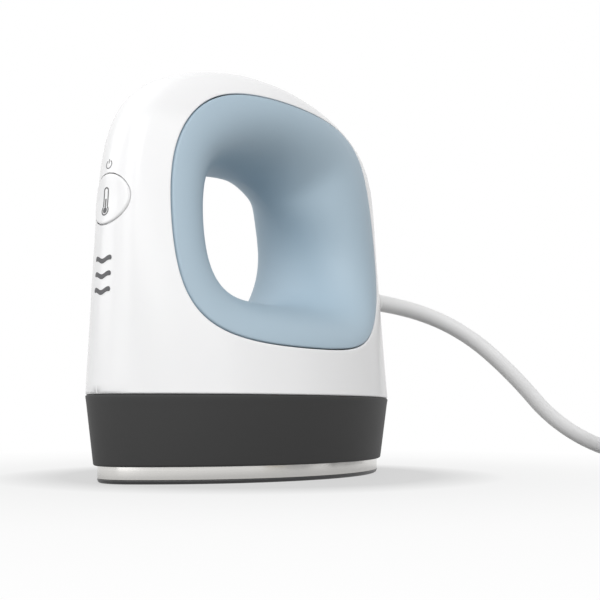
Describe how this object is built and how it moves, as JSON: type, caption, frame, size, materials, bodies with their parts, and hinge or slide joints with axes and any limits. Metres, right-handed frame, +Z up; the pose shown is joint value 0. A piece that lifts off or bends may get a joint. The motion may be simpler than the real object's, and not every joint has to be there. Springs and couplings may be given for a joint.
{
  "type": "mini handheld heat press",
  "caption": "Small one-hand craft heat press: pointed-oval heated plate under a white shell with a lined finger opening, nose button, and a coiled mains lead.",
  "frame": {"origin": "on the work surface, under the middle of the heat plate", "axes": "+Z up; -X towards the nose with the button, +X towards the lead; Y across the width, through the finger opening"},
  "size_m": [0.1795, 0.1406, 0.092],
  "materials": {
    "white_shell": "satin",
    "white_button": "satin",
    "blue_liner": "soft satin",
    "grey_skirt": "matte",
    "plate_metal": "polished",
    "non_stick": "satin",
    "dark_lens": "gloss",
    "white_lead": "satin",
    "tie_black": "matte",
    "blade_brass": "polished",
    "element_steel": "brushed",
    "sheet_steel": "brushed",
    "mineral_board": "matte",
    "board_green": "satin",
    "black_component": "matte",
    "yellow_component": "matte",
    "green_terminal": "matte",
    "fuse_ceramic": "gloss",
    "led_white": "gloss",
    "plunger_black": "matte",
    "clamp_plastic": "matte",
    "wire_sleeve": "matte",
    "ribbon_grey": "matte"
  },
  "bodies": {
    "press": {"base_skirt": "grey_skirt", "board_fuse": "fuse_ceramic", "buzzer": "black_component", "controller_chip": "black_component", "cord_clamp": "clamp_plastic", "cord_clamp_screws": "sheet_steel", "cord_coil": "white_lead", "cord_tail": "white_lead", "cord_tie": "tie_black", "fuse_clip": "sheet_steel", "handle_liner_left": "blue_liner", "handle_liner_right": "blue_liner", "heat_plate": "plate_metal", "heat_shield": "sheet_steel", "heater_leads": "wire_sleeve", "heating_element": "element_steel", "indicator_leds": "led_white", "insulation_pad": "mineral_board", "level_lens_high": "dark_lens", "level_lens_low": "dark_lens", "level_lens_medium": "dark_lens", "liner_pins": "sheet_steel", "main_board": "board_green", "main_board_screws": "sheet_steel", "mains_leads": "wire_sleeve", "outer_shell": "white_shell", "plate_screws": "sheet_steel", "plug_blades": "blade_brass", "plug_body": "white_lead", "power_cord": "white_lead", "power_switch": "black_component", "probe_clip": "sheet_steel", "relay": "black_component", "ribbon_cable": "ribbon_grey", "safety_capacitor": "yellow_component", "sensor_leads": "wire_sleeve", "sensor_screws": "sheet_steel", "smoothing_capacitor": "black_component", "sole_coating": "non_stick", "standby_lens": "dark_lens", "strain_relief": "white_lead", "supply_transformer": "yellow_component", "temperature_probe": "element_steel", "terminal_block": "green_terminal", "thermal_fuse": "element_steel", "ui_board": "board_green", "ui_board_screws": "sheet_steel"},
    "button": {"power_button": "white_button"},
    "plunger": {"switch_plunger": "plunger_black"}
  },
  "joints": [
    {"name": "button_press", "type": "slide", "parent": "press", "child": "button", "axis": [1, 0, 0], "range_m": [0, 0.0005], "stiffness_N_per_m": 400, "springref_m": -0.002},
    {"name": "switch_plunger_press", "type": "slide", "parent": "press", "child": "plunger", "axis": [1, 0, 0], "range_m": [0, 0.0005]}
  ],
  "couplings": [
    {"joint": "switch_plunger_press", "follows": "button_press", "ratio": 1}
  ]
}
